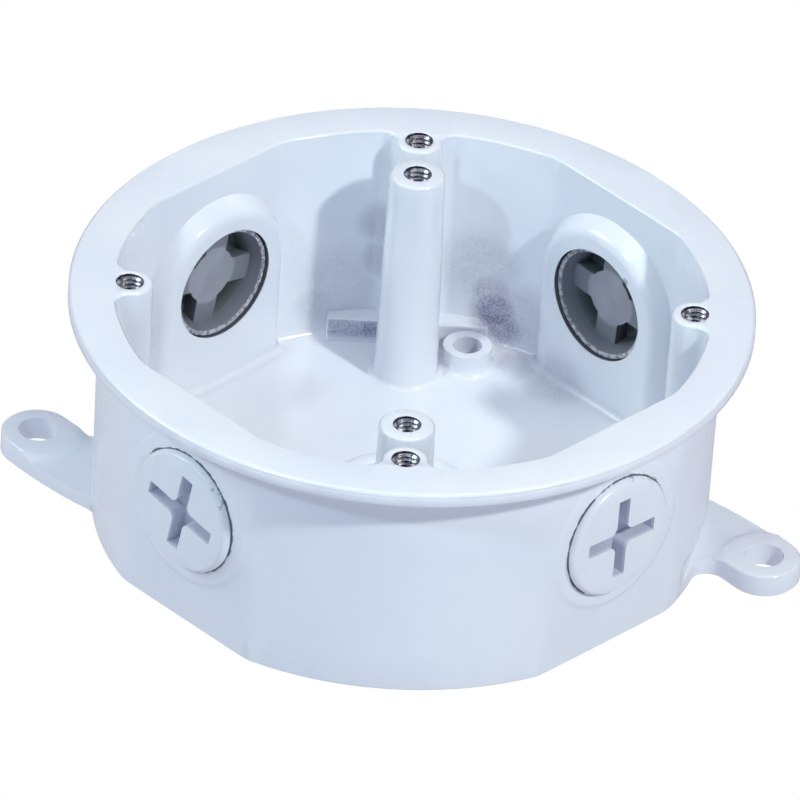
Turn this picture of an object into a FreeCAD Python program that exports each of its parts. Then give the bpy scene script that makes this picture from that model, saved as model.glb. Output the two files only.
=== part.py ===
import FreeCAD, Part
import math
import os
from FreeCAD import Placement, Rotation, Vector

# Round weatherproof junction box, a die casting that stands mouth up.
# Millimetres, Z up. The origin is the middle of the box's underside, and +X runs
# to the lug that lies to the right when the ground screw boss is at the back.

# The cover screws, which set the size of the casting
cover_screw_circle = 88.9
screw_hole_diameter = 4.3
screw_hole_depth = 16.0
screw_hole_chamfer = 0.15
drill_point_slope = 0.6

# The casting as a whole; its outer wall stands a set distance outside the cover screws
height = 41.3
wall_thickness = 2.4
floor_thickness = 3.0
draft_angle = 0.8
screw_to_outside = 4.25
body_radius = cover_screw_circle / 2 + screw_to_outside
flat_depth = 2.0
flat_distance = body_radius - flat_depth
flat_corner_radius = 8.0
base_edge_chamfer = 0.5
floor_edge_radius = 1.8

# The flange round the mouth, where the cover and its gasket seat
rim_overhang = 5.4
rim_radius = body_radius + rim_overhang
rim_thickness = 2.8
rim_edge_chamfer = 0.6
mouth_edge_chamfer = 0.45

# Cover screw bosses in the wall
cover_boss_top_radius = 3.7
cover_boss_draft_angle = 0.5
cover_boss_blend_radius = 2.2

# The two free posts, whose screws hold a fixture strap. They stand this far inside the cover
# screws, which brings them to the usual 69.85 mm apart.
post_inset = 9.525
fixture_screw_spacing = cover_screw_circle - 2 * post_inset
post_top_radius = 4.4
column_draft_angle = 1.1
column_foot_flare = 1.1

# Threaded outlets, four in the wall and one in the floor
outlet_drop = 19.6
outlet_height = height - outlet_drop
outlet_bore = 19.2
outlet_chamfer = 0.5
hub_radius = 12.6
hub_rise = 0.8
hub_face_distance = flat_distance + hub_rise
hub_slope = 2.2
hub_cone_height = 1.1
hub_edge_chamfer = 0.35
pad_radius = 12.6
pad_rise = 2.6
pad_face_distance = flat_distance - wall_thickness - pad_rise
pad_slope = 1.6
pad_edge_radius = 2.2
pad_foot_flare = 1.3
floor_ring_radius = 12.5
floor_ring_height = 0.7
floor_ring_slope = 0.6

# Ledge behind the back post, and the boss for the ground screw in front of it
ledge_half_width = 13.0
ledge_depth = 3.7
ledge_face_distance = body_radius - wall_thickness - ledge_depth
ledge_height = 4.3
ledge_edge_chamfer = 0.45
ground_boss_x = 9.7
ground_boss_setback = 4.6
ground_boss_y = ledge_face_distance - ground_boss_setback
ground_boss_radius = 3.9
ground_boss_height = 3.9
ground_hole_diameter = 4.6
ground_hole_depth = 4.0

# Fixing lugs, cast on the base and set half a turn apart
lug_reach = 10.22
lug_hole_circle = 2 * (body_radius + lug_reach)
lug_hole_azimuth = 168.57
lug_turns = (0, 180)
lug_hole_diameter = 6.4
lug_half_width = 5.9
lug_short_angle = -47.0
lug_long_angle = -50.0
lug_long_sweep = 75.0
lug_thickness = 4.0
lug_web_thickness = 2.8
lug_web_ramp = 2.2
lug_relief_depth = 0.9
lug_relief_height = 6.9
lug_long_blend = 1.5
lug_short_blend = 2.6
lug_top_chamfer = 0.45
lug_bottom_chamfer = 0.35
lug_root_depth = 1.6

# Closure plugs in the four wall outlets
plug_head_radius = 10.3
plug_head_thickness = 1.4
plug_head_chamfer = 0.7
plug_thread_clearance = 0.15
plug_end_setback = 0.8
cup_wall = 0.6
cup_taper = 1.2
cup_floor_thickness = 1.5
slot_length = 14.2
slot_width = 2.4
slot_corner_radius = 1.2
slot_depth = 3.0
cross_wall = 1.0
cross_centre_radius = 4.6
plug_turns = {
    "plug_front_left": (225.0, -11.0),
    "plug_front_right": (315.0, -2.0),
    "plug_back_left": (135.0, 10.0),
    "plug_back_right": (45.0, 4.0),
}

# How far a cut or a joined root runs past the surface it crosses
overrun = 1.0

# Two levels this close are one level
same_level = 0.01

outlet_azimuths = [azimuth for azimuth, turn in plug_turns.values()]
up = Vector(0, 0, 1)


def draft_growth(rise, angle=draft_angle):
    """How far a drafted wall moves sideways over a rise."""
    return rise * math.tan(math.radians(angle))


def outward(azimuth):
    """A level unit vector that points away from the box's axis."""
    angle = math.radians(azimuth)
    return Vector(math.cos(angle), math.sin(angle), 0)


def square_wire(half_side, level):
    """A level square, turned so that its sides face the four outlets."""
    corner = half_side * math.sqrt(2)
    points = [outward(90 * k) * corner + up * level for k in range(4)]
    return Part.makePolygon(points + points[:1])


def flatted_cone(radius, flat, low, high):
    """A drafted round block with a flat at each outlet; radius and flat are its sizes at z = 0."""
    grow_low, grow_high = draft_growth(low), draft_growth(high)
    cone = Part.makeCone(radius + grow_low, radius + grow_high, high - low, up * low)
    flats = Part.makeLoft([square_wire(flat + grow_low, low), square_wire(flat + grow_high, high)],
                          True, True)
    block = cone.common(flats)
    upright = [edge for edge in block.Edges if spans(edge, low, high)]
    return block.makeFillet(flat_corner_radius, upright)


def spans(edge, low, high):
    """True for an edge that runs from one level to the other."""
    box = edge.BoundBox
    return abs(box.ZMin - low) < same_level and abs(box.ZMax - high) < same_level


def level_edges(shape, level):
    """The edges that lie flat at a level."""
    return [edge for edge in shape.Edges if spans(edge, level, level)]


def reach(edge):
    """How far the ends of an edge lie from the box's axis, at most."""
    return max(math.hypot(point.X, point.Y) for point in edge.Vertexes)


def turned(outline):
    """A solid of revolution about Z from its half section, a list of radius and level."""
    points = [Vector(radius, 0, level) for radius, level in outline]
    return Part.Face(Part.makePolygon(points + points[:1])).revolve(Vector(0, 0, 0), up, 360)


def outside():
    """The casting's outer form with the flange, all solid."""
    block = flatted_cone(body_radius, flat_distance, 0, height)
    block = block.makeChamfer(base_edge_chamfer, level_edges(block, 0))
    flange = Part.makeCylinder(rim_radius, rim_thickness, up * (height - rim_thickness))
    for level in (height - rim_thickness, height):
        flange = flange.makeChamfer(rim_edge_chamfer, level_edges(flange, level))
    return block.fuse(flange)


def column(x, y, top_radius, top, past=0):
    """A drafted round post with a flared foot, run on past its top if asked."""
    flare_top = floor_thickness + column_foot_flare
    bottom_radius = top_radius + draft_growth(top - flare_top, column_draft_angle)
    end_radius = top_radius - draft_growth(past, column_draft_angle)
    outline = [
        (0, floor_thickness - overrun),
        (bottom_radius + column_foot_flare + overrun, floor_thickness - overrun),
        (bottom_radius, flare_top),
        (end_radius, top + past),
        (0, top + past),
    ]
    solid = turned(outline)
    solid.translate(Vector(x, y, 0))
    return solid


def outlet_placement(azimuth):
    """Puts a shape's +Z along an outlet's axis, +Y upright and its zero on the box's axis."""
    along = outward(azimuth)
    turn = Rotation(up.cross(along), up, along, "ZYX")
    return Placement(up * outlet_height, turn)


def arched_wire(radius, below, distance):
    """An upright outline with a round top and a straight foot, for an outlet's inner pad."""
    left, right = Vector(-radius, 0, distance), Vector(radius, 0, distance)
    drop = Vector(0, -below, 0)
    return Part.Wire([
        Part.makeLine(left + drop, left),
        Part.Arc(left, Vector(0, radius, distance), right).toShape(),
        Part.makeLine(right, right + drop),
        Part.makeLine(right + drop, left + drop),
    ])


def pad_plan(grow, level):
    """The pad's outline from above, grown all round, at a level; its front corners are round."""
    lean = Vector(pad_slope, 0, pad_rise).normalize()
    front = Vector(0, 0, -1)
    facing = Vector(lean.z, 0, -lean.x)
    middle = (front + facing).normalize()
    centre = Vector(pad_radius, level - outlet_height, pad_face_distance)
    centre -= middle * (pad_edge_radius / middle.dot(front))
    radius = pad_edge_radius + grow
    right = [centre + way * radius for way in (front, middle, facing)]
    right.append(right[2] + lean * ((body_radius + overrun - right[2].z) / lean.z))
    left = [Vector(-point.x, point.y, point.z) for point in right]
    return Part.Wire([
        Part.makeLine(left[3], left[2]),
        Part.Arc(left[2], left[1], left[0]).toShape(),
        Part.makeLine(left[0], right[0]),
        Part.Arc(right[0], right[1], right[2]).toShape(),
        Part.makeLine(right[2], right[3]),
        Part.makeLine(right[3], left[3]),
    ])


def inner_pad(azimuth):
    """The thick arched pad that gives an outlet its length of thread inside the box."""
    below = outlet_height - floor_thickness + overrun
    back = body_radius + overrun
    slope = pad_slope * (back - pad_face_distance) / (flat_distance - wall_thickness - pad_face_distance)
    pad = Part.makeLoft([arched_wire(pad_radius, below, pad_face_distance),
                         arched_wire(pad_radius + slope, below, back)], True, True)
    face_edges = [edge for edge in level_edges(pad, pad_face_distance)
                  if edge.BoundBox.YMax > overrun - below]
    pad = pad.makeFillet(pad_edge_radius, face_edges)
    foot = Part.makeLoft([pad_plan(pad_foot_flare + overrun, floor_thickness - overrun),
                          pad_plan(-overrun, floor_thickness + pad_foot_flare + overrun)], True, True)
    pad = pad.fuse(foot)
    pad.Placement = outlet_placement(azimuth)
    return pad


def ledge():
    """The low step across the wall behind the back post."""
    depth = body_radius - ledge_face_distance
    block = Part.makeBox(2 * ledge_half_width, depth, ledge_height + overrun,
                         Vector(-ledge_half_width, ledge_face_distance, floor_thickness - overrun))
    top = floor_thickness + ledge_height
    edges = [edge for edge in block.Edges if edge.BoundBox.ZMax > top - same_level
             and edge.BoundBox.YMin < ledge_face_distance + same_level]
    return block.makeChamfer(ledge_edge_chamfer, edges)


def cover_boss(azimuth):
    """A drafted half-round boss that grows out of the wall under a cover screw."""
    low, high = floor_thickness - overrun, height + 2 * overrun
    low_radius = cover_boss_top_radius + draft_growth(height - low, cover_boss_draft_angle)
    high_radius = cover_boss_top_radius - draft_growth(high - height, cover_boss_draft_angle)
    depth = body_radius - cover_screw_circle / 2
    webs = []
    for radius, level in ((low_radius, low), (high_radius, high)):
        corners = [(0, -radius), (depth, -radius), (depth, radius), (0, radius)]
        points = [Vector(x, y, level) for x, y in corners]
        webs.append(Part.makePolygon(points + points[:1]))
    nose = Part.makeCone(low_radius, high_radius, high - low, up * low)
    boss = nose.fuse(Part.makeLoft(webs, True, True))
    boss.Placement = Placement(outward(azimuth) * (cover_screw_circle / 2), Rotation(up, azimuth))
    return boss


def wall_corners(block):
    """The upright edges of the core where the cover bosses leave the wall."""
    found = []
    for edge in block.Edges:
        if spans(edge, floor_thickness, height + overrun):
            across, out = sorted((abs(edge.CenterOfMass.x), abs(edge.CenterOfMass.y)))
            if across < cover_boss_top_radius + overrun and out > cover_screw_circle / 2 + overrun:
                found.append(edge)
    return found


def core():
    """The space inside the casting, as the steel core that forms it."""
    block = flatted_cone(body_radius - wall_thickness, flat_distance - wall_thickness,
                         floor_thickness, height + overrun)
    for azimuth in (0, 90, 180, 270):
        block = block.cut(cover_boss(azimuth))
    block = block.makeFillet(cover_boss_blend_radius, wall_corners(block))
    block = block.makeFillet(floor_edge_radius, level_edges(block, floor_thickness))
    for azimuth in outlet_azimuths:
        block = block.cut(inner_pad(azimuth))
    block = block.cut(ledge())
    columns = []
    for side in (-1, 1):
        columns.append(column(0, side * fixture_screw_spacing / 2, post_top_radius, height, 2 * overrun))
    columns.append(column(ground_boss_x, ground_boss_y, ground_boss_radius,
                          floor_thickness + ground_boss_height))
    for solid in columns:
        block = block.cut(solid)
    ring = Part.makeCone(floor_ring_radius, floor_ring_radius - floor_ring_slope, floor_ring_height,
                         up * floor_thickness)
    return block.cut(ring)


def hub(azimuth):
    """The low round boss that a plug's head seats on."""
    cone_start = hub_face_distance - hub_cone_height
    root = pad_face_distance + overrun
    boss = Part.makeCone(hub_radius + hub_slope, hub_radius, hub_cone_height, up * cone_start)
    boss = boss.makeChamfer(hub_edge_chamfer, level_edges(boss, hub_face_distance))
    boss = boss.fuse(Part.makeCylinder(hub_radius, cone_start - root, up * root))
    boss.Placement = outlet_placement(azimuth)
    return boss


def lug_relief(half_turn):
    """The shallow flat cut into the wall above a lug, which lets the head of its screw pass."""
    deep = body_radius - lug_relief_depth
    clear = body_radius + lug_reach / 2
    outline = [
        Vector(deep, -lug_reach, lug_web_thickness),
        Vector(deep, -lug_reach, lug_relief_height - lug_relief_depth),
        Vector(clear, -lug_reach, lug_relief_height + clear - body_radius),
        Vector(clear, -lug_reach, lug_web_thickness),
    ]
    cut = Part.Face(Part.makePolygon(outline + outline[:1])).extrude(Vector(0, 2 * lug_reach, 0))
    cut.rotate(Vector(0, 0, 0), up, lug_hole_azimuth + half_turn)
    return cut


def circles_meet(centre, radius, other, other_radius, near):
    """The point where two level circles meet that lies closer to a given point."""
    line = other - centre
    apart = line.Length
    along = (apart ** 2 + radius ** 2 - other_radius ** 2) / (2 * apart)
    aside = up.cross(line).normalize() * math.sqrt(radius ** 2 - along ** 2)
    middle = centre + line * (along / apart)
    return min((middle + aside, middle - aside), key=lambda point: point.distanceToPoint(near))


def arc(start, end, centre, radius):
    """The short arc between two points of a circle."""
    between = (start + end) * 0.5 - centre
    return Part.Arc(start, centre + between.normalize() * radius, end).toShape()


def lug(half_turn):
    """A flat arm with a round end; its long side bulges, and both sides blend into the wall."""
    axis = Vector(0, 0, 0)
    centre = outward(lug_hole_azimuth) * (lug_hole_circle / 2)
    short_way = outward(lug_short_angle)
    short_across = up.cross(short_way)
    long_across = up.cross(outward(lug_long_angle))
    tip_short = centre + short_across * lug_half_width
    tip_long = centre - long_across * lug_half_width
    sweep_centre = tip_long + long_across * lug_long_sweep

    fillet = lug_short_blend
    offset = centre + short_across * (lug_half_width + fillet)
    back = offset.dot(short_way)
    run = -back - math.sqrt(back ** 2 - offset.dot(offset) + (body_radius + fillet) ** 2)
    short_centre = offset + short_way * run
    short_start = short_centre - short_across * fillet
    short_end = short_centre * (body_radius / (body_radius + fillet))

    fillet = lug_long_blend
    long_centre = circles_meet(axis, body_radius + fillet, sweep_centre, lug_long_sweep + fillet, tip_long)
    out = long_centre - sweep_centre
    long_start = sweep_centre + out * (lug_long_sweep / (lug_long_sweep + fillet))
    long_end = long_centre * (body_radius / (body_radius + fillet))

    inset = 1 - lug_root_depth / body_radius
    outline = Part.Wire([
        Part.makeLine(long_end * inset, long_end),
        arc(long_end, long_start, long_centre, lug_long_blend),
        arc(long_start, tip_long, sweep_centre, lug_long_sweep),
        Part.Arc(tip_long, centre - short_way * lug_half_width, tip_short).toShape(),
        Part.makeLine(tip_short, short_start),
        arc(short_start, short_end, short_centre, lug_short_blend),
        Part.makeLine(short_end, short_end * inset),
        Part.makeLine(short_end * inset, long_end * inset),
    ])
    plate = Part.Face(outline).extrude(up * lug_thickness)
    for level, chamfer in ((lug_thickness, lug_top_chamfer), (0, lug_bottom_chamfer)):
        edges = [edge for edge in level_edges(plate, level) if reach(edge) > body_radius + same_level]
        plate = plate.makeChamfer(chamfer, edges)
    step = lug_thickness - lug_web_thickness
    boss = Part.makeCone(lug_half_width + lug_web_ramp, lug_half_width, step, centre + up * lug_web_thickness)
    above = Part.makeCylinder(2 * lug_reach, step, centre + up * lug_web_thickness)
    plate = plate.cut(above.cut(boss))
    plate = plate.cut(Part.makeCylinder(lug_hole_diameter / 2, lug_thickness, centre))
    plate.rotate(axis, up, half_turn)
    return plate


def screw_hole(x, y, top, diameter, depth):
    """A blind hole with a drill point and a small chamfer at its mouth."""
    radius = diameter / 2
    point = radius * drill_point_slope
    hole = Part.makeCylinder(radius, depth + overrun, Vector(x, y, top - depth))
    tip = Part.makeCone(0, radius, point, Vector(x, y, top - depth - point))
    mouth = Part.makeCone(radius, radius + 2 * screw_hole_chamfer, 2 * screw_hole_chamfer,
                          Vector(x, y, top - screw_hole_chamfer))
    return hole.fuse([tip, mouth])


def holes():
    """Every drilled and tapped hole in the casting."""
    cuts = []
    for azimuth in (0, 90, 180, 270):
        place = outward(azimuth) * (cover_screw_circle / 2)
        cuts.append(screw_hole(place.x, place.y, height, screw_hole_diameter, screw_hole_depth))
    for side in (-1, 1):
        cuts.append(screw_hole(0, side * fixture_screw_spacing / 2, height, screw_hole_diameter,
                               screw_hole_depth))
    cuts.append(screw_hole(ground_boss_x, ground_boss_y, floor_thickness + ground_boss_height,
                           ground_hole_diameter, ground_hole_depth))
    for azimuth in outlet_azimuths:
        bore = Part.makeCylinder(outlet_bore / 2, hub_face_distance - pad_face_distance + 2 * overrun,
                                 up * (pad_face_distance - overrun))
        bore.Placement = outlet_placement(azimuth)
        cuts.append(bore)
    top = floor_thickness + floor_ring_height
    cuts.append(Part.makeCylinder(outlet_bore / 2, top + 2 * overrun, up * -overrun))
    for level, direction in ((top, up), (0, -up)):
        start = up * level - direction * outlet_chamfer
        cuts.append(Part.makeCone(outlet_bore / 2, outlet_bore / 2 + 2 * outlet_chamfer,
                                  2 * outlet_chamfer, start, direction))
    return cuts


def box_body():
    """The one-piece casting."""
    shell = outside().cut([lug_relief(turn) for turn in lug_turns])
    shell = shell.fuse([hub(azimuth) for azimuth in outlet_azimuths] + [lug(turn) for turn in lug_turns])
    shell = shell.cut(core())
    mouth = [edge for edge in level_edges(shell, height) if reach(edge) < body_radius]
    shell = shell.makeChamfer(mouth_edge_chamfer, mouth)
    return shell.cut(holes()).removeSplitter()


def cross(length, width, low, high):
    """Two bars at right angles about the plug's axis."""
    bars = []
    for long_way, short_way in ((length, width), (width, length)):
        bars.append(Part.makeBox(long_way, short_way, high - low,
                                 Vector(-long_way / 2, -short_way / 2, low)))
    both = bars[0].fuse(bars[1])
    corners = [edge for edge in both.Edges if spans(edge, low, high)
               and math.hypot(edge.CenterOfMass.x, edge.CenterOfMass.y) < width]
    return both.makeFillet(slot_corner_radius, corners)


def closure_plug(azimuth, turn):
    """A cast plug: a round head with a cross slot, and a hollow threaded barrel."""
    barrel = outlet_bore / 2 - plug_thread_clearance
    face = hub_face_distance + plug_head_thickness
    end = pad_face_distance + plug_end_setback
    cup_floor = face - cup_floor_thickness
    mouth = barrel - cup_wall
    outline = [
        (0, face),
        (plug_head_radius - plug_head_chamfer, face),
        (plug_head_radius, face - plug_head_chamfer),
        (plug_head_radius, hub_face_distance),
        (barrel, hub_face_distance),
        (barrel, end),
        (mouth, end),
        (mouth - cup_taper, cup_floor),
        (0, cup_floor),
    ]
    plug = turned(outline)
    slot_floor = face - slot_depth
    cross_top = slot_floor - cross_wall
    raised = cross(2 * barrel, slot_width + 2 * cross_wall, cross_top, cup_floor)
    raised = raised.fuse(Part.makeCylinder(cross_centre_radius, cup_floor - cross_top, up * cross_top))
    raised = raised.common(Part.makeCylinder(barrel - cup_wall / 2, face - end, up * end))
    plug = plug.fuse(raised)
    plug = plug.cut(cross(slot_length, slot_width, slot_floor, face + overrun)).removeSplitter()
    plug.rotate(Vector(0, 0, 0), up, turn)
    plug.Placement = outlet_placement(azimuth).multiply(plug.Placement)
    return plug


os.makedirs("parts", exist_ok=True)
box_body().exportStep("parts/box_body.step")
for name, (azimuth, turn) in plug_turns.items():
    closure_plug(azimuth, turn).exportStep("parts/" + name + ".step")
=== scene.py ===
import math

import bmesh
import bpy
from mathutils import Matrix, Vector


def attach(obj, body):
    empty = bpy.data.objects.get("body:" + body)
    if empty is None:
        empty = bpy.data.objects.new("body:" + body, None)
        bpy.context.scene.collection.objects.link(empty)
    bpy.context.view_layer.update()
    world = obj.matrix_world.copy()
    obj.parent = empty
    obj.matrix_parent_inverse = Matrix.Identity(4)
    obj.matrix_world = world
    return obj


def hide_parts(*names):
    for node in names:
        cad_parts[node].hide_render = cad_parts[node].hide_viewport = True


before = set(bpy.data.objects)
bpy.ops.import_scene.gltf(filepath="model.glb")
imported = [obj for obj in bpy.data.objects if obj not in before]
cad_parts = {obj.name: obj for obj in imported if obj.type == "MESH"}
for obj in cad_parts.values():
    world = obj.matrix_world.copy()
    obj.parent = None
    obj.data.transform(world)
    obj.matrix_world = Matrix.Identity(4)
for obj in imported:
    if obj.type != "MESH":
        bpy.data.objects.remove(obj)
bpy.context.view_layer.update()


# The box casting: one aluminium die casting with its flange, bosses, hubs and lugs, drilled and
# tapped after casting and coated with a glossy white powder that runs thin in the deep corners,
# where painted shade darkens it further.
# All sizes are in millimetres, and MM turns them into metres.
MM = 0.001
BOX_HEIGHT = 41.3
RIM_RADIUS = 54.1
FLOOR_FACE = 3.0
OUTLET_HEIGHT = 21.7
OUTLET_BORE_RADIUS = 9.6
PAD_FACE = 41.7
HUB_FACE = 47.5
PLUG_HEAD_RADIUS = 10.3
LEDGE_FACE = 42.6
INNER_WALL_RADIUS = 46.3
INNER_FLAT = 44.3
COVER_SCREW_RADIUS = 44.45
FIXTURE_POST_RADIUS = 34.925
SCREW_HOLE_RADIUS = 2.15
DRILLED_DEPTH = 19
PARTING_LEVEL = 40.55
WHITE_COAT = (0.80, 0.83, 0.90, 1)
PALER_COAT = (0.84, 0.86, 0.92, 1)
THIN_COAT_AND_SHADE = (0.24, 0.235, 0.375, 1)
SHADED_HOLE_METAL = (0.13, 0.13, 0.17, 1)
PAINTED_GAP_SHADE = (0.07, 0.07, 0.09, 1)
PAINTED_CRESCENT_SHADOW = (0.30, 0.34, 0.38, 1)
CHIPPED_EDGE = (0.20, 0.17, 0.18, 1)
PIT_SHADE = (0.16, 0.17, 0.22, 1)
PARTING_SHADE = (0.30, 0.32, 0.38, 1)

# Marks on the casting: x, y, z and how far each reaches, and for a thin coat its strength as well.
# The coat is thin on the ledge's face, and on the wall and floor at the back of the inside, where the
# posts' shadows fall; there the patches are painted shade as well as thin coat.
LEDGE_THIN_AND_SHADED_SPOTS = [
    (-9.5, 42.6, 5.5, 6.5, 0.75),
    (-5.6, 42.6, 5.5, 3.4, 1.0),
    (10.0, 42.6, 6.0, 5.0, 0.5),
]
BACK_THIN_AND_SHADED_SPOTS = [
    (13.7, 44.1, 9.4, 5.2, 1.0),
    (12.9, 44.4, 13.0, 4.6, 0.6),
    (15.4, 43.6, 6.5, 4.5, 0.8),
    (11.0, 44.8, 17.5, 9.0, 0.30),
    (18.5, 42.0, 10.0, 8.0, 0.32),
    (-5.2, 45.9, 24.0, 5.0, 0.42),
    (-4.8, 46.0, 17.0, 4.5, 0.45),
    (-11.0, 44.8, 13.0, 9.0, 0.20),
    (-14.6, 43.6, 9.0, 5.0, 0.30),
    (18.5, 39.0, 3.5, 6.0, 0.38),
    (25.0, 34.0, 3.0, 8.0, 0.30),
]
CHIPPED_SPOTS = [(-29.0, -38.8, 28.3, 5.0), (36.9, -30.6, 31.4, 5.0), (39.5, -28.0, 28.5, 3.0)]
CRESCENT_SHADOW_SPOT = (28.0, -39.4, 16.0, 9.0)
PITS = [(-35.2, -27.5, 41.1, 0.55), (-27.3, -35.3, 41.3, 0.5), (33.8, 25.2, 29.4, 0.9)]


class Signal:
    """A socket in a material's node tree. Arithmetic on it adds Math nodes; node() adds any other."""

    def __init__(self, tree, socket=None):
        self.tree = tree
        self.socket = socket

    def node(self, kind, settings=None, inputs=None, output=0):
        made = self.tree.nodes.new(kind)
        for name, value in (settings or {}).items():
            setattr(made, name, value)
        for name, value in (inputs or {}).items():
            if isinstance(value, Signal):
                self.tree.links.new(value.socket, made.inputs[name])
            else:
                made.inputs[name].default_value = value
        return Signal(self.tree, made.outputs[output])

    def math(self, operation, *values):
        return self.node("ShaderNodeMath", {"operation": operation}, dict(enumerate(values)))

    def __add__(self, other):
        return self.math("ADD", self, other)

    def __sub__(self, other):
        return self.math("SUBTRACT", self, other)

    def __rsub__(self, other):
        return self.math("SUBTRACT", other, self)

    def __mul__(self, other):
        return self.math("MULTIPLY", self, other)

    def __truediv__(self, other):
        return self.math("DIVIDE", self, other)

    def __abs__(self):
        return self.math("ABSOLUTE", self)

    __radd__ = __add__
    __rmul__ = __mul__

    def lower(self, other):
        return self.math("MINIMUM", self, other)

    def higher(self, other):
        return self.math("MAXIMUM", self, other)

    def length(self, other):
        """The length of a diagonal whose sides are this value and another."""
        return self.math("SQRT", self * self + other * other)

    def ease(self, low, high):
        """Runs smoothly from 0 where the value is low to 1 where it is high."""
        return self.node("ShaderNodeMapRange", {"interpolation_type": "SMOOTHSTEP"},
                         {"Value": self, "From Min": low, "From Max": high})

    def noise(self, scale, detail=2.0, roughness=0.5):
        """Soft noise with this many grains to a millimetre."""
        return self.node("ShaderNodeTexNoise", None, {"Vector": self, "Scale": scale, "Detail": detail,
                                                     "Roughness": roughness}, "Fac")

    def blend(self, under, over):
        """The colour under, covered by the colour over as far as this mask goes."""
        return self.node("ShaderNodeMix", {"data_type": "RGBA"}, {"Factor": self, 6: under, 7: over}, 2)

    def bump(self, distance, normal=None):
        """The normal of a surface that this value raises by up to a distance in millimetres."""
        inputs = {"Height": self, "Distance": distance * MM}
        if normal:
            inputs["Normal"] = normal
        return self.node("ShaderNodeBump", None, inputs)


class Finish:
    """A new material with one Principled shader, and the piece's own coordinates in millimetres."""

    def __init__(self, name):
        self.material = bpy.data.materials.new(name)
        self.material.use_nodes = True
        self.tree = self.material.node_tree
        self.shader = self.tree.nodes["Principled BSDF"]
        start = Signal(self.tree)
        metres = start.node("ShaderNodeTexCoord", output="Object")
        self.place = metres.node("ShaderNodeVectorMath", {"operation": "SCALE"},
                                 {"Vector": metres, "Scale": 1 / MM})
        self.x, self.y, self.z = [self.place.node("ShaderNodeSeparateXYZ", None, {0: self.place}, axis)
                                  for axis in range(3)]

    def set(self, **values):
        """Sets or links the shader's sockets, named with _ for each space."""
        for name, value in values.items():
            socket = self.shader.inputs[name.replace("_", " ")]
            if isinstance(value, Signal):
                self.tree.links.new(value.socket, socket)
            else:
                socket.default_value = value


def outlet_distances(finish):
    """How far a point lies along the nearest wall outlet's axis, and how far from that axis."""
    along = (abs(finish.x) + abs(finish.y)) * math.sqrt(0.5)
    aside = (abs(finish.x) - abs(finish.y)) * math.sqrt(0.5)
    return along, aside.length(finish.z - OUTLET_HEIGHT)


def near(finish, x, y, z, reach):
    """A soft mask round a spot on the casting."""
    dx, dy, dz = finish.x - x, finish.y - y, finish.z - z
    return 1 - dx.length(dy).length(dz).ease(reach * 0.35, reach)


def strongest(masks):
    """The highest of several masks at each point."""
    top = masks[0]
    for mask in masks[1:]:
        top = top.higher(mask)
    return top


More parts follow.
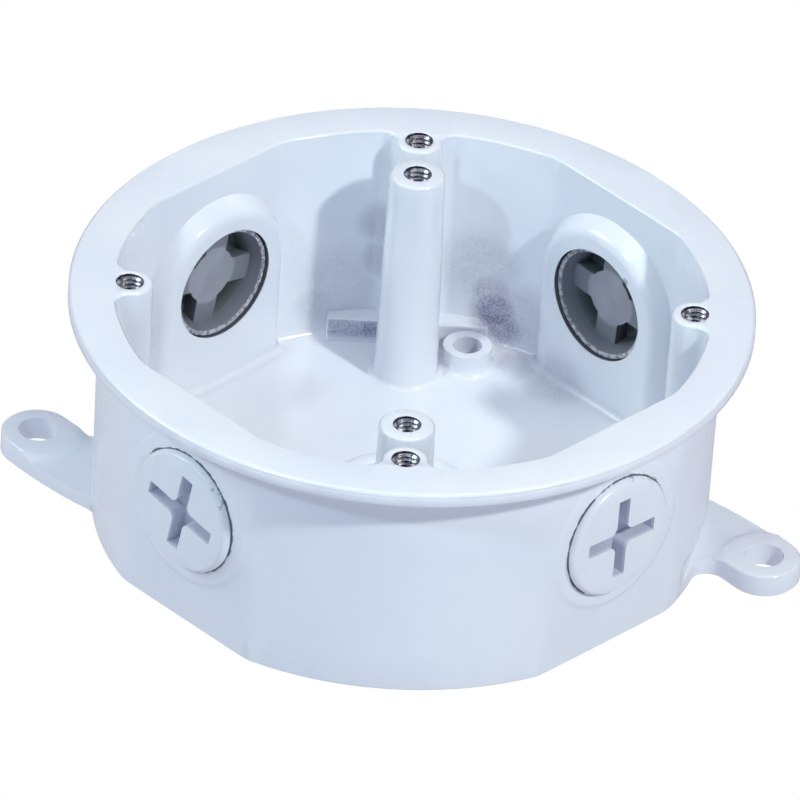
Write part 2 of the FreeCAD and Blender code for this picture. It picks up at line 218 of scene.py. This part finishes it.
def coat(name):
    """White powder coat with the holes, thin patches and marks of the casting, and painted shade in its
    holes, gaps and shadowed corners.
    """
    finish = Finish(name)
    place = finish.place
    along, from_axis = outlet_distances(finish)
    ax, ay = abs(finish.x), abs(finish.y)

    # Bare metal in the tapped holes, darkened as painted shade, and painted shade on the threads
    # between each plug's end and its pad
    screw = (ax - COVER_SCREW_RADIUS).length(ay)
    screw = screw.lower(ax.length(ay - COVER_SCREW_RADIUS))
    screw = screw.lower(ax.length(ay - FIXTURE_POST_RADIUS))
    tapped = 1 - screw.ease(SCREW_HOLE_RADIUS + 0.03, SCREW_HOLE_RADIUS + 0.11)
    tapped = tapped * finish.z.ease(BOX_HEIGHT - DRILLED_DEPTH - 1, BOX_HEIGHT - DRILLED_DEPTH)
    shaded_threads = 1 - from_axis.ease(OUTLET_BORE_RADIUS + 0.02, OUTLET_BORE_RADIUS + 0.15)
    shaded_threads = shaded_threads * along.ease(PAD_FACE + 0.05, PAD_FACE + 0.25)

    # Coat that ran thin, darkened to violet as painted shade: a fine dusty grain, thickest on the
    # ledge's face and in the corner beside it
    grain = place.noise(2.4, 3.0, 0.7)
    dust = grain.ease(0.30, 0.68)
    on_ledge = 1 - finish.y.ease(LEDGE_FACE + 0.1, LEDGE_FACE + 0.3)
    on_ledge = on_ledge * finish.z.ease(FLOOR_FACE + 0.3, FLOOR_FACE + 1.8)
    ledge_thin_and_shade = strongest([near(finish, *spot) * strength for *spot, strength in LEDGE_THIN_AND_SHADED_SPOTS])
    back_thin_and_shade = strongest([near(finish, *spot) * strength for *spot, strength in BACK_THIN_AND_SHADED_SPOTS])
    past_inner_wall = (ax.length(ay) - INNER_WALL_RADIUS).higher(along - INNER_FLAT)
    inside = (1 - past_inner_wall.ease(0.7, 1.2)) * finish.z.ease(FLOOR_FACE - 1.5, FLOOR_FACE - 0.2)
    thin_and_shade = (ledge_thin_and_shade * on_ledge).higher(back_thin_and_shade)
    thin_and_shade = thin_and_shade * (place.noise(0.35, 2.0, 0.6) * 0.8 + 0.6) * inside
    dusty_and_shaded = (thin_and_shade * (dust * 0.55 + 0.5)).lower(1)

    # Painted shade in the gap round each plug's head, with chips in the coat beside it, and a painted
    # shadow at the lower edge of the front right plug's head
    ring = from_axis - PLUG_HEAD_RADIUS
    uneven = place.noise(0.5, 3.0, 0.65)
    seat = along.ease(HUB_FACE - 0.35, HUB_FACE - 0.15)
    gap_shade = (1 - (ring / (uneven.ease(0.3, 0.7) * 0.34 + 0.10)).ease(0.6, 1.3)) * seat
    chip = strongest([near(finish, *spot) for spot in CHIPPED_SPOTS])
    flaked = place.noise(0.8, 3.0, 0.6).ease(0.48, 0.62) * (1 - ring.ease(0.3, 0.8)) * seat * chip
    crescent_shadow = near(finish, *CRESCENT_SHADOW_SPOT) * (1 - ring.ease(0.45, 0.8)) * seat

    # Small pits, and the faint line that the die left round the flange
    pit = strongest([near(finish, *spot) for spot in PITS])
    parting = 1 - abs(finish.z - PARTING_LEVEL).ease(0.04, 0.16)
    parting = parting * ax.length(ay).ease(RIM_RADIUS - 0.9, RIM_RADIUS - 0.6)

    colour = place.noise(0.05, 2.0, 0.5).ease(0.3, 0.7).blend(WHITE_COAT, PALER_COAT)
    # Dark violet patches: thin coat and painted shade
    colour = dusty_and_shaded.blend(colour, THIN_COAT_AND_SHADE)
    colour = (crescent_shadow * 0.45).blend(colour, PAINTED_CRESCENT_SHADOW)
    colour = (flaked * 0.55).blend(colour, CHIPPED_EDGE)
    colour = (gap_shade * 0.9).blend(colour, PAINTED_GAP_SHADE)
    colour = (pit * 0.6).blend(colour, PIT_SHADE)
    colour = (parting * 0.14).blend(colour, PARTING_SHADE)
    colour = shaded_threads.blend(colour, PAINTED_GAP_SHADE)
    colour = tapped.blend(colour, SHADED_HOLE_METAL)

    peel = place.noise(0.75, 2.0, 0.5)
    fine = place.noise(3.2, 2.0, 0.6)
    surface = (peel - parting * 0.5).bump(0.055)
    surface = (fine * (dusty_and_shaded * 1.6 + 0.12)).bump(0.03, surface)
    finish.set(Base_Color=colour, Roughness=(0.17 + dusty_and_shaded * 0.3 + tapped * 0.16), Metallic=tapped,
               Normal=surface, IOR=1.5)
    return finish.material


SHARP_ANGLE = 50
WELD_DISTANCE = 0.002
SLIVER_WIDTH = 0.001


def smooth_copy(node, name):
    """A copy of a CAD node's mesh that stands in for the node, smooth but for its sharp edges and
    the edges of its flat underside."""
    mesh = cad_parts[node].data.copy()
    mesh.name = name
    work = bmesh.new()
    work.from_mesh(mesh)
    bmesh.ops.remove_doubles(work, verts=work.verts, dist=WELD_DISTANCE * MM)
    bmesh.ops.dissolve_degenerate(work, edges=work.edges, dist=SLIVER_WIDTH * MM)
    for face in work.faces:
        face.smooth = True
    for edge in work.edges:
        downward = {face.normal.z < -0.999 for face in edge.link_faces}
        edge.smooth = len(downward) == 1 and edge.calc_face_angle(0) < math.radians(SHARP_ANGLE)
    work.to_mesh(mesh)
    work.free()
    mesh.materials.clear()
    piece = bpy.data.objects.new(name, mesh)
    bpy.context.scene.collection.objects.link(piece)
    weighted = piece.modifiers.new("even shading", "WEIGHTED_NORMAL")
    weighted.keep_sharp = True
    return piece


casting = smooth_copy("box_body", "casting")
white_coat = coat("white powder coat")
casting.data.materials.append(white_coat)
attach(casting, "root")
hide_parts("box_body")


# The tapped threads: the ridges left in the cover screw and fixture post holes, and the pipe thread
# of the open floor outlet. Each is a helix that stands on the wall of its hole.
SCREW_PITCH = 0.794
SCREW_ROOT = 2.17
SCREW_CREST = 1.75
SCREW_THREAD_DEPTH = 15.2
SCREW_THREAD_TOP = BOX_HEIGHT - 0.5
RIDGE_HALF_WIDTH = 0.46
PIPE_PITCH = 1.81
PIPE_ROOT = 9.62
PIPE_CREST = 9.1
PIPE_THREAD_FOOT = 1.0
PIPE_THREAD_TURNS = 1.0
# The tapped metal is darkened as painted shade deep in the holes.
SHADED_TAPPED_METAL = (0.24, 0.23, 0.30, 1)
BARE_ALUMINIUM = (0.42, 0.42, 0.45, 1)


def thread_tree():
    """Geometry nodes that wind a ridged helix at each point of a mesh."""
    tree = bpy.data.node_groups.new("tapped thread", "GeometryNodeTree")
    tree.interface.new_socket("Points", in_out="INPUT", socket_type="NodeSocketGeometry")
    for name in ("Root radius", "Crest radius", "Pitch", "Turns"):
        tree.interface.new_socket(name, in_out="INPUT", socket_type="NodeSocketFloat")
    tree.interface.new_socket("Metal", in_out="INPUT", socket_type="NodeSocketMaterial")
    tree.interface.new_socket("Thread", in_out="OUTPUT", socket_type="NodeSocketGeometry")
    given = tree.nodes.new("NodeGroupInput").outputs
    result = tree.nodes.new("NodeGroupOutput")

    def add(kind, settings=None, **inputs):
        """One node of this kind, its settings set first, and its first output."""
        node = tree.nodes.new(kind)
        for name, value in (settings or {}).items():
            setattr(node, name, value)
        for name, value in inputs.items():
            socket = node.inputs[name.replace("_", " ")]
            if isinstance(value, bpy.types.NodeSocket):
                tree.links.new(value, socket)
            else:
                socket.default_value = value
        return node.outputs[0]

    def calculate(operation, first, second):
        """The result of a Math node."""
        node = tree.nodes.new("ShaderNodeMath")
        node.operation = operation
        for slot, value in enumerate((first, second)):
            if isinstance(value, bpy.types.NodeSocket):
                tree.links.new(value, node.inputs[slot])
            else:
                node.inputs[slot].default_value = value
        return node.outputs[0]

    rise = calculate("MULTIPLY", given["Pitch"], given["Turns"])
    helix = add("GeometryNodeCurveSpiral", Resolution=40, Rotations=given["Turns"], Height=rise,
                Start_Radius=given["Root radius"], End_Radius=given["Root radius"])
    helix = add("GeometryNodeSetCurveNormal", {"mode": "Z_UP"}, Curve=helix)
    ridge = add("GeometryNodeCurvePrimitiveCircle", Resolution=4, Radius=1.0)
    depth = calculate("SUBTRACT", given["Root radius"], given["Crest radius"])
    size = add("ShaderNodeCombineXYZ", X=depth,
               Y=calculate("MULTIPLY", given["Pitch"], RIDGE_HALF_WIDTH), Z=1.0)
    ridge = add("GeometryNodeTransform", Geometry=ridge, Scale=size)
    wound = add("GeometryNodeCurveToMesh", Curve=helix, Profile_Curve=ridge, Fill_Caps=True)
    placed = add("GeometryNodeInstanceOnPoints", Points=given["Points"], Instance=wound)
    real = add("GeometryNodeRealizeInstances", Geometry=placed)
    faceted = add("GeometryNodeSetShadeSmooth", Geometry=real, Shade_Smooth=False)
    finished = add("GeometryNodeSetMaterial", Geometry=faceted, Material=given["Metal"])
    tree.links.new(finished, result.inputs[0])
    return tree


def cut_metal(name, colour, roughness):
    """Aluminium that a tap has cut, paler where it is worn."""
    finish = Finish(name)
    grain = finish.place.noise(1.7, 3.0, 0.6)
    worn = grain.ease(0.35, 0.65)
    finish.set(Base_Color=worn.blend(colour, BARE_ALUMINIUM), Metallic=0.9,
               Roughness=(roughness + worn * 0.12), Normal=grain.bump(0.02))
    return finish.material


def thread(name, feet, root, crest, pitch, turns, material):
    """Thread ridges that start at each foot and climb the hole."""
    points = bpy.data.meshes.new(name)
    points.from_pydata([Vector(foot) * MM for foot in feet], [], [])
    piece = bpy.data.objects.new(name, points)
    bpy.context.scene.collection.objects.link(piece)
    modifier = piece.modifiers.new("thread", "NODES")
    modifier.node_group = THREAD_TREE
    values = {"Root radius": root * MM, "Crest radius": crest * MM, "Pitch": pitch * MM,
              "Turns": turns, "Metal": material}
    for socket in THREAD_TREE.interface.items_tree:
        if socket.name in values:
            modifier[socket.identifier] = values[socket.name]
    evaluated = piece.evaluated_get(bpy.context.evaluated_depsgraph_get())
    mesh = bpy.data.meshes.new_from_object(evaluated)
    piece.modifiers.remove(modifier)
    piece.data = mesh
    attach(piece, "root")


THREAD_TREE = thread_tree()
screw_foot = SCREW_THREAD_TOP - SCREW_THREAD_DEPTH
screw_feet = [(COVER_SCREW_RADIUS, 0, screw_foot), (-COVER_SCREW_RADIUS, 0, screw_foot),
              (0, COVER_SCREW_RADIUS, screw_foot), (0, -COVER_SCREW_RADIUS, screw_foot),
              (0, FIXTURE_POST_RADIUS, screw_foot), (0, -FIXTURE_POST_RADIUS, screw_foot)]
thread("screw_threads", screw_feet, SCREW_ROOT, SCREW_CREST, SCREW_PITCH,
       SCREW_THREAD_DEPTH / SCREW_PITCH, cut_metal("tapped metal", SHADED_TAPPED_METAL, roughness=0.2))
thread("pipe_thread", [(0, 0, PIPE_THREAD_FOOT)], PIPE_ROOT, PIPE_CREST, PIPE_PITCH,
       PIPE_THREAD_TURNS, white_coat)


# The closure plugs: die-cast discs with a cross slot, screwed into the four wall outlets. They are
# coated with the box from outside, and inside their hollow backs stay bare and dull. Each has its
# azimuth round the box and the turn of its cross, in degrees.
PLUG_TURNS = {"front_left": (225, -11), "front_right": (315, -2), "back_left": (135, 10),
              "back_right": (45, 4)}
PLUG_END = 42.5
PLUG_FACE = 48.9
CROSS_TOP = 44.9
CROSS_CENTRE_RADIUS = 4.6
CUP_FLOOR = 47.4
SLOT_HALF_WIDTH = 1.2
SLOT_HALF_LENGTH = 7.1
# The cup floor's darkness is painted shade and the cross's paleness painted light.
CUP_WALL_METAL = (0.22, 0.23, 0.28, 1)
SHADED_CUP_FLOOR_METAL = (0.075, 0.095, 0.10, 1)
LIT_CROSS_METAL = (0.37, 0.37, 0.43, 1)
TURNED_METAL = (0.72, 0.72, 0.78, 1)
STAINED_METAL = (0.12, 0.14, 0.15, 1)
SLOT_SHADE = (0.40, 0.40, 0.54, 1)


def plug_finish(name, azimuth, turn):
    """Coat on a plug's face and in its slot, and bare metal in its hollow back."""
    finish = Finish(name)
    place = finish.place
    along, from_axis = outlet_distances(finish)
    angle, tilt = math.radians(azimuth), math.radians(turn)
    aside = finish.y * math.cos(angle) - finish.x * math.sin(angle)
    rise = finish.z - OUTLET_HEIGHT
    across = abs(aside * math.cos(tilt) + rise * math.sin(tilt))
    upright = abs(rise * math.cos(tilt) - aside * math.sin(tilt))

    # The slot and the inner part of its walls, one bar of the cross at a time
    width, length = SLOT_HALF_WIDTH + 0.45, SLOT_HALF_LENGTH + 0.2
    level = (1 - upright.ease(width - 0.05, width)) * (1 - across.ease(length, length + 0.05))
    plumb = (1 - across.ease(width - 0.05, width)) * (1 - upright.ease(length, length + 0.05))
    in_slot = level.higher(plumb) * along.ease(CROSS_TOP + 0.4, CROSS_TOP + 0.5)
    painted = in_slot.higher(along.ease(HUB_FACE - 0.08, HUB_FACE))

    # The bare back: darker deeper in the pockets, as painted shade over the metal's dark oxide, paler
    # on the raised cross and most at its centre, as painted light, and paler on the turned lip
    grain = place.noise(1.3, 3.0, 0.6)
    cloud = place.noise(0.22, 2.0, 0.5).ease(0.3, 0.7)
    on_cross = 1 - along.ease(CROSS_TOP + 0.1, CROSS_TOP + 0.3)
    on_cross = on_cross * along.ease(CROSS_TOP - 0.3, CROSS_TOP - 0.1)
    lit_centre = 1 - from_axis.ease(CROSS_CENTRE_RADIUS, CROSS_CENTRE_RADIUS + 0.8)
    on_lip = (1 - along.ease(PLUG_END + 0.05, PLUG_END + 0.4)) * grain.ease(0.35, 0.60)
    back = along.ease(PLUG_END + 1.0, CUP_FLOOR - 0.2).blend(CUP_WALL_METAL, SHADED_CUP_FLOOR_METAL)
    back = (on_cross * (lit_centre * 0.75 + 0.15)).blend(back, LIT_CROSS_METAL)
    back = on_lip.blend(back, TURNED_METAL)
    back = (cloud * 0.25).blend(back, STAINED_METAL)

    # The coat, with painted shade in the gap where the head meets the hub, chips along its edge and
    # painted shade deep in the slot
    uneven = place.noise(0.5, 3.0, 0.65)
    gap_shade_line = 1 - along.ease(HUB_FACE + 0.05, HUB_FACE + 0.30)
    gap_shade_line = gap_shade_line * from_axis.ease(PLUG_HEAD_RADIUS - 0.2, PLUG_HEAD_RADIUS - 0.05)
    chip = strongest([near(finish, *spot) for spot in CHIPPED_SPOTS])
    flaked = place.noise(0.8, 3.0, 0.6).ease(0.52, 0.64) * chip
    flaked = flaked * from_axis.ease(PLUG_HEAD_RADIUS - 0.6, PLUG_HEAD_RADIUS - 0.2)
    paint = place.noise(0.07, 2.0, 0.5).ease(0.3, 0.7).blend(WHITE_COAT, PALER_COAT)
    paint = (gap_shade_line * uneven.ease(0.3, 0.5) * 0.85).blend(paint, PAINTED_GAP_SHADE)
    paint = (flaked * 0.55).blend(paint, CHIPPED_EDGE)
    deep = in_slot * (1 - along.ease(PLUG_FACE - 0.9, PLUG_FACE - 0.1))
    paint = (deep * 0.5).blend(paint, SLOT_SHADE)
    surface = (place.noise(0.9, 2.0, 0.5) * (painted * 0.5 + 0.5)).bump(0.04)
    surface = (grain * (1 - painted)).bump(0.05, surface)
    finish.set(Base_Color=painted.blend(back, paint), Roughness=(0.5 - painted * 0.26),
               Normal=surface, IOR=1.5)
    return finish.material


for place_name, (azimuth, turn) in PLUG_TURNS.items():
    plug = smooth_copy("plug_" + place_name, "closure_" + place_name)
    plug.data.materials.append(plug_finish("plug coat " + place_name.replace("_", " "), azimuth, turn))
    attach(plug, "root")
    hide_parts("plug_" + place_name)


# The studio: a plain floor that shows white, lights the box as a pale grey sheet would and is clear
# from below, a dim bluish sky, and six lamps. Of the two small ones at the front the right one is
# stronger, as the two shadows of each post show, and four wide ones light the rest.
FLOOR_DROP = 0.05
SHEET_GREY = (0.56, 0.56, 0.64, 1)
SHEET_WHITE = (1, 1, 1, 1)
SKY = (0.58, 0.58, 1.0, 1)
SKY_STRENGTH = 0.17
LAMP_AIM = Vector((0, 0, 20)) * MM

floor_mesh = bpy.data.meshes.new("floor")
floor_mesh.from_pydata([(-2, -3, 0), (4, -3, 0), (4, 3, 0), (-2, 3, 0)], [], [(0, 1, 2, 3)])
floor = bpy.data.objects.new("floor", floor_mesh)
floor.location.z = -FLOOR_DROP * MM
bpy.context.scene.collection.objects.link(floor)
floor_finish = Finish("white floor")
seen = floor_finish.place.node("ShaderNodeLightPath", output="Is Camera Ray")
floor_finish.set(Base_Color=(0, 0, 0, 1), Roughness=1.0, Specular_IOR_Level=0.0,
                 Emission_Color=seen.blend(SHEET_GREY, SHEET_WHITE), Emission_Strength=1.0,
                 Alpha=1 - floor_finish.place.node("ShaderNodeNewGeometry", output="Backfacing"))
floor.data.materials.append(floor_finish.material)

world = bpy.data.worlds.new("studio")
bpy.context.scene.world = world
world.use_nodes = True
sky = world.node_tree.nodes["Background"]
sky.inputs["Color"].default_value = SKY
sky.inputs["Strength"].default_value = SKY_STRENGTH


def softbox(name, azimuth, elevation, distance, size, power, colour):
    """A square lamp that faces the box, with its azimuth measured from the front towards the right.
    Distance and size are in metres and the power is in watts."""
    turn, lift = math.radians(azimuth), math.radians(elevation)
    away = Vector((math.sin(turn) * math.cos(lift), -math.cos(turn) * math.cos(lift), math.sin(lift)))
    lamp = bpy.data.lights.new(name, "AREA")
    lamp.size = size
    lamp.energy = power
    lamp.color = colour
    body = bpy.data.objects.new(name, lamp)
    body.location = away * distance + LAMP_AIM
    body.rotation_euler = away.to_track_quat("Z", "Y").to_euler()
    bpy.context.scene.collection.objects.link(body)


softbox("right lamp", 47.2, 43, 1.2, 0.08, 8.0, (0.90, 0.97, 0.93))
softbox("left lamp", -46.2, 43, 1.2, 0.08, 3.1, (0.66, 0.90, 1.0))
softbox("top lamp", 0, 85, 1.4, 0.9, 4.4, (1.0, 0.88, 0.82))
softbox("front lamp", 0, 12, 1.4, 0.6, 3.0, (0.62, 0.88, 1.0))
softbox("side lamp", -95, 35, 1.2, 0.5, 5.4, (0.88, 0.98, 0.92))
softbox("back lamp", 125, 30, 1.2, 0.5, 1.2, (0.90, 0.95, 1.0))

# Colours show as they are lit, with no film curve
scene = bpy.context.scene
scene.view_settings.view_transform = "Standard"
scene.view_settings.look = "None"
scene.view_settings.exposure = 0
scene.view_settings.gamma = 1

# The camera: a long lens a little over 34 degrees up, tipped slightly to one side.
CAMERA_DISTANCE = 3.0
CAMERA_AZIMUTH = -0.697
CAMERA_ELEVATION = 34.588
CAMERA_ROLL = 3.671
LENS_PIXELS = 19032.7
FRAME_PIXELS = 800
SENSOR = 36.0
AIM = Vector((0, 0, 21.3)) * MM
AIM_PIXEL = (405.838, 402.062)

turn, lift = math.radians(CAMERA_AZIMUTH), math.radians(CAMERA_ELEVATION)
back = Vector((math.sin(turn) * math.cos(lift), -math.cos(turn) * math.cos(lift), math.sin(lift)))
side = Vector((0, 0, 1)).cross(back).normalized()
head = back.cross(side)
roll = math.radians(CAMERA_ROLL)
right = side * math.cos(roll) + head * math.sin(roll)
top = head * math.cos(roll) - side * math.sin(roll)
lens = bpy.data.cameras.new("camera")
lens.sensor_width = SENSOR
lens.lens = LENS_PIXELS * SENSOR / FRAME_PIXELS
lens.shift_x = (FRAME_PIXELS / 2 - AIM_PIXEL[0]) / FRAME_PIXELS
lens.shift_y = (AIM_PIXEL[1] - FRAME_PIXELS / 2) / FRAME_PIXELS
lens.clip_end = 20
camera = bpy.data.objects.new("camera", lens)
facing = Matrix((right, top, back)).transposed().to_4x4()
camera.matrix_world = Matrix.Translation(AIM + back * CAMERA_DISTANCE) @ facing
scene.collection.objects.link(camera)
scene.camera = camera
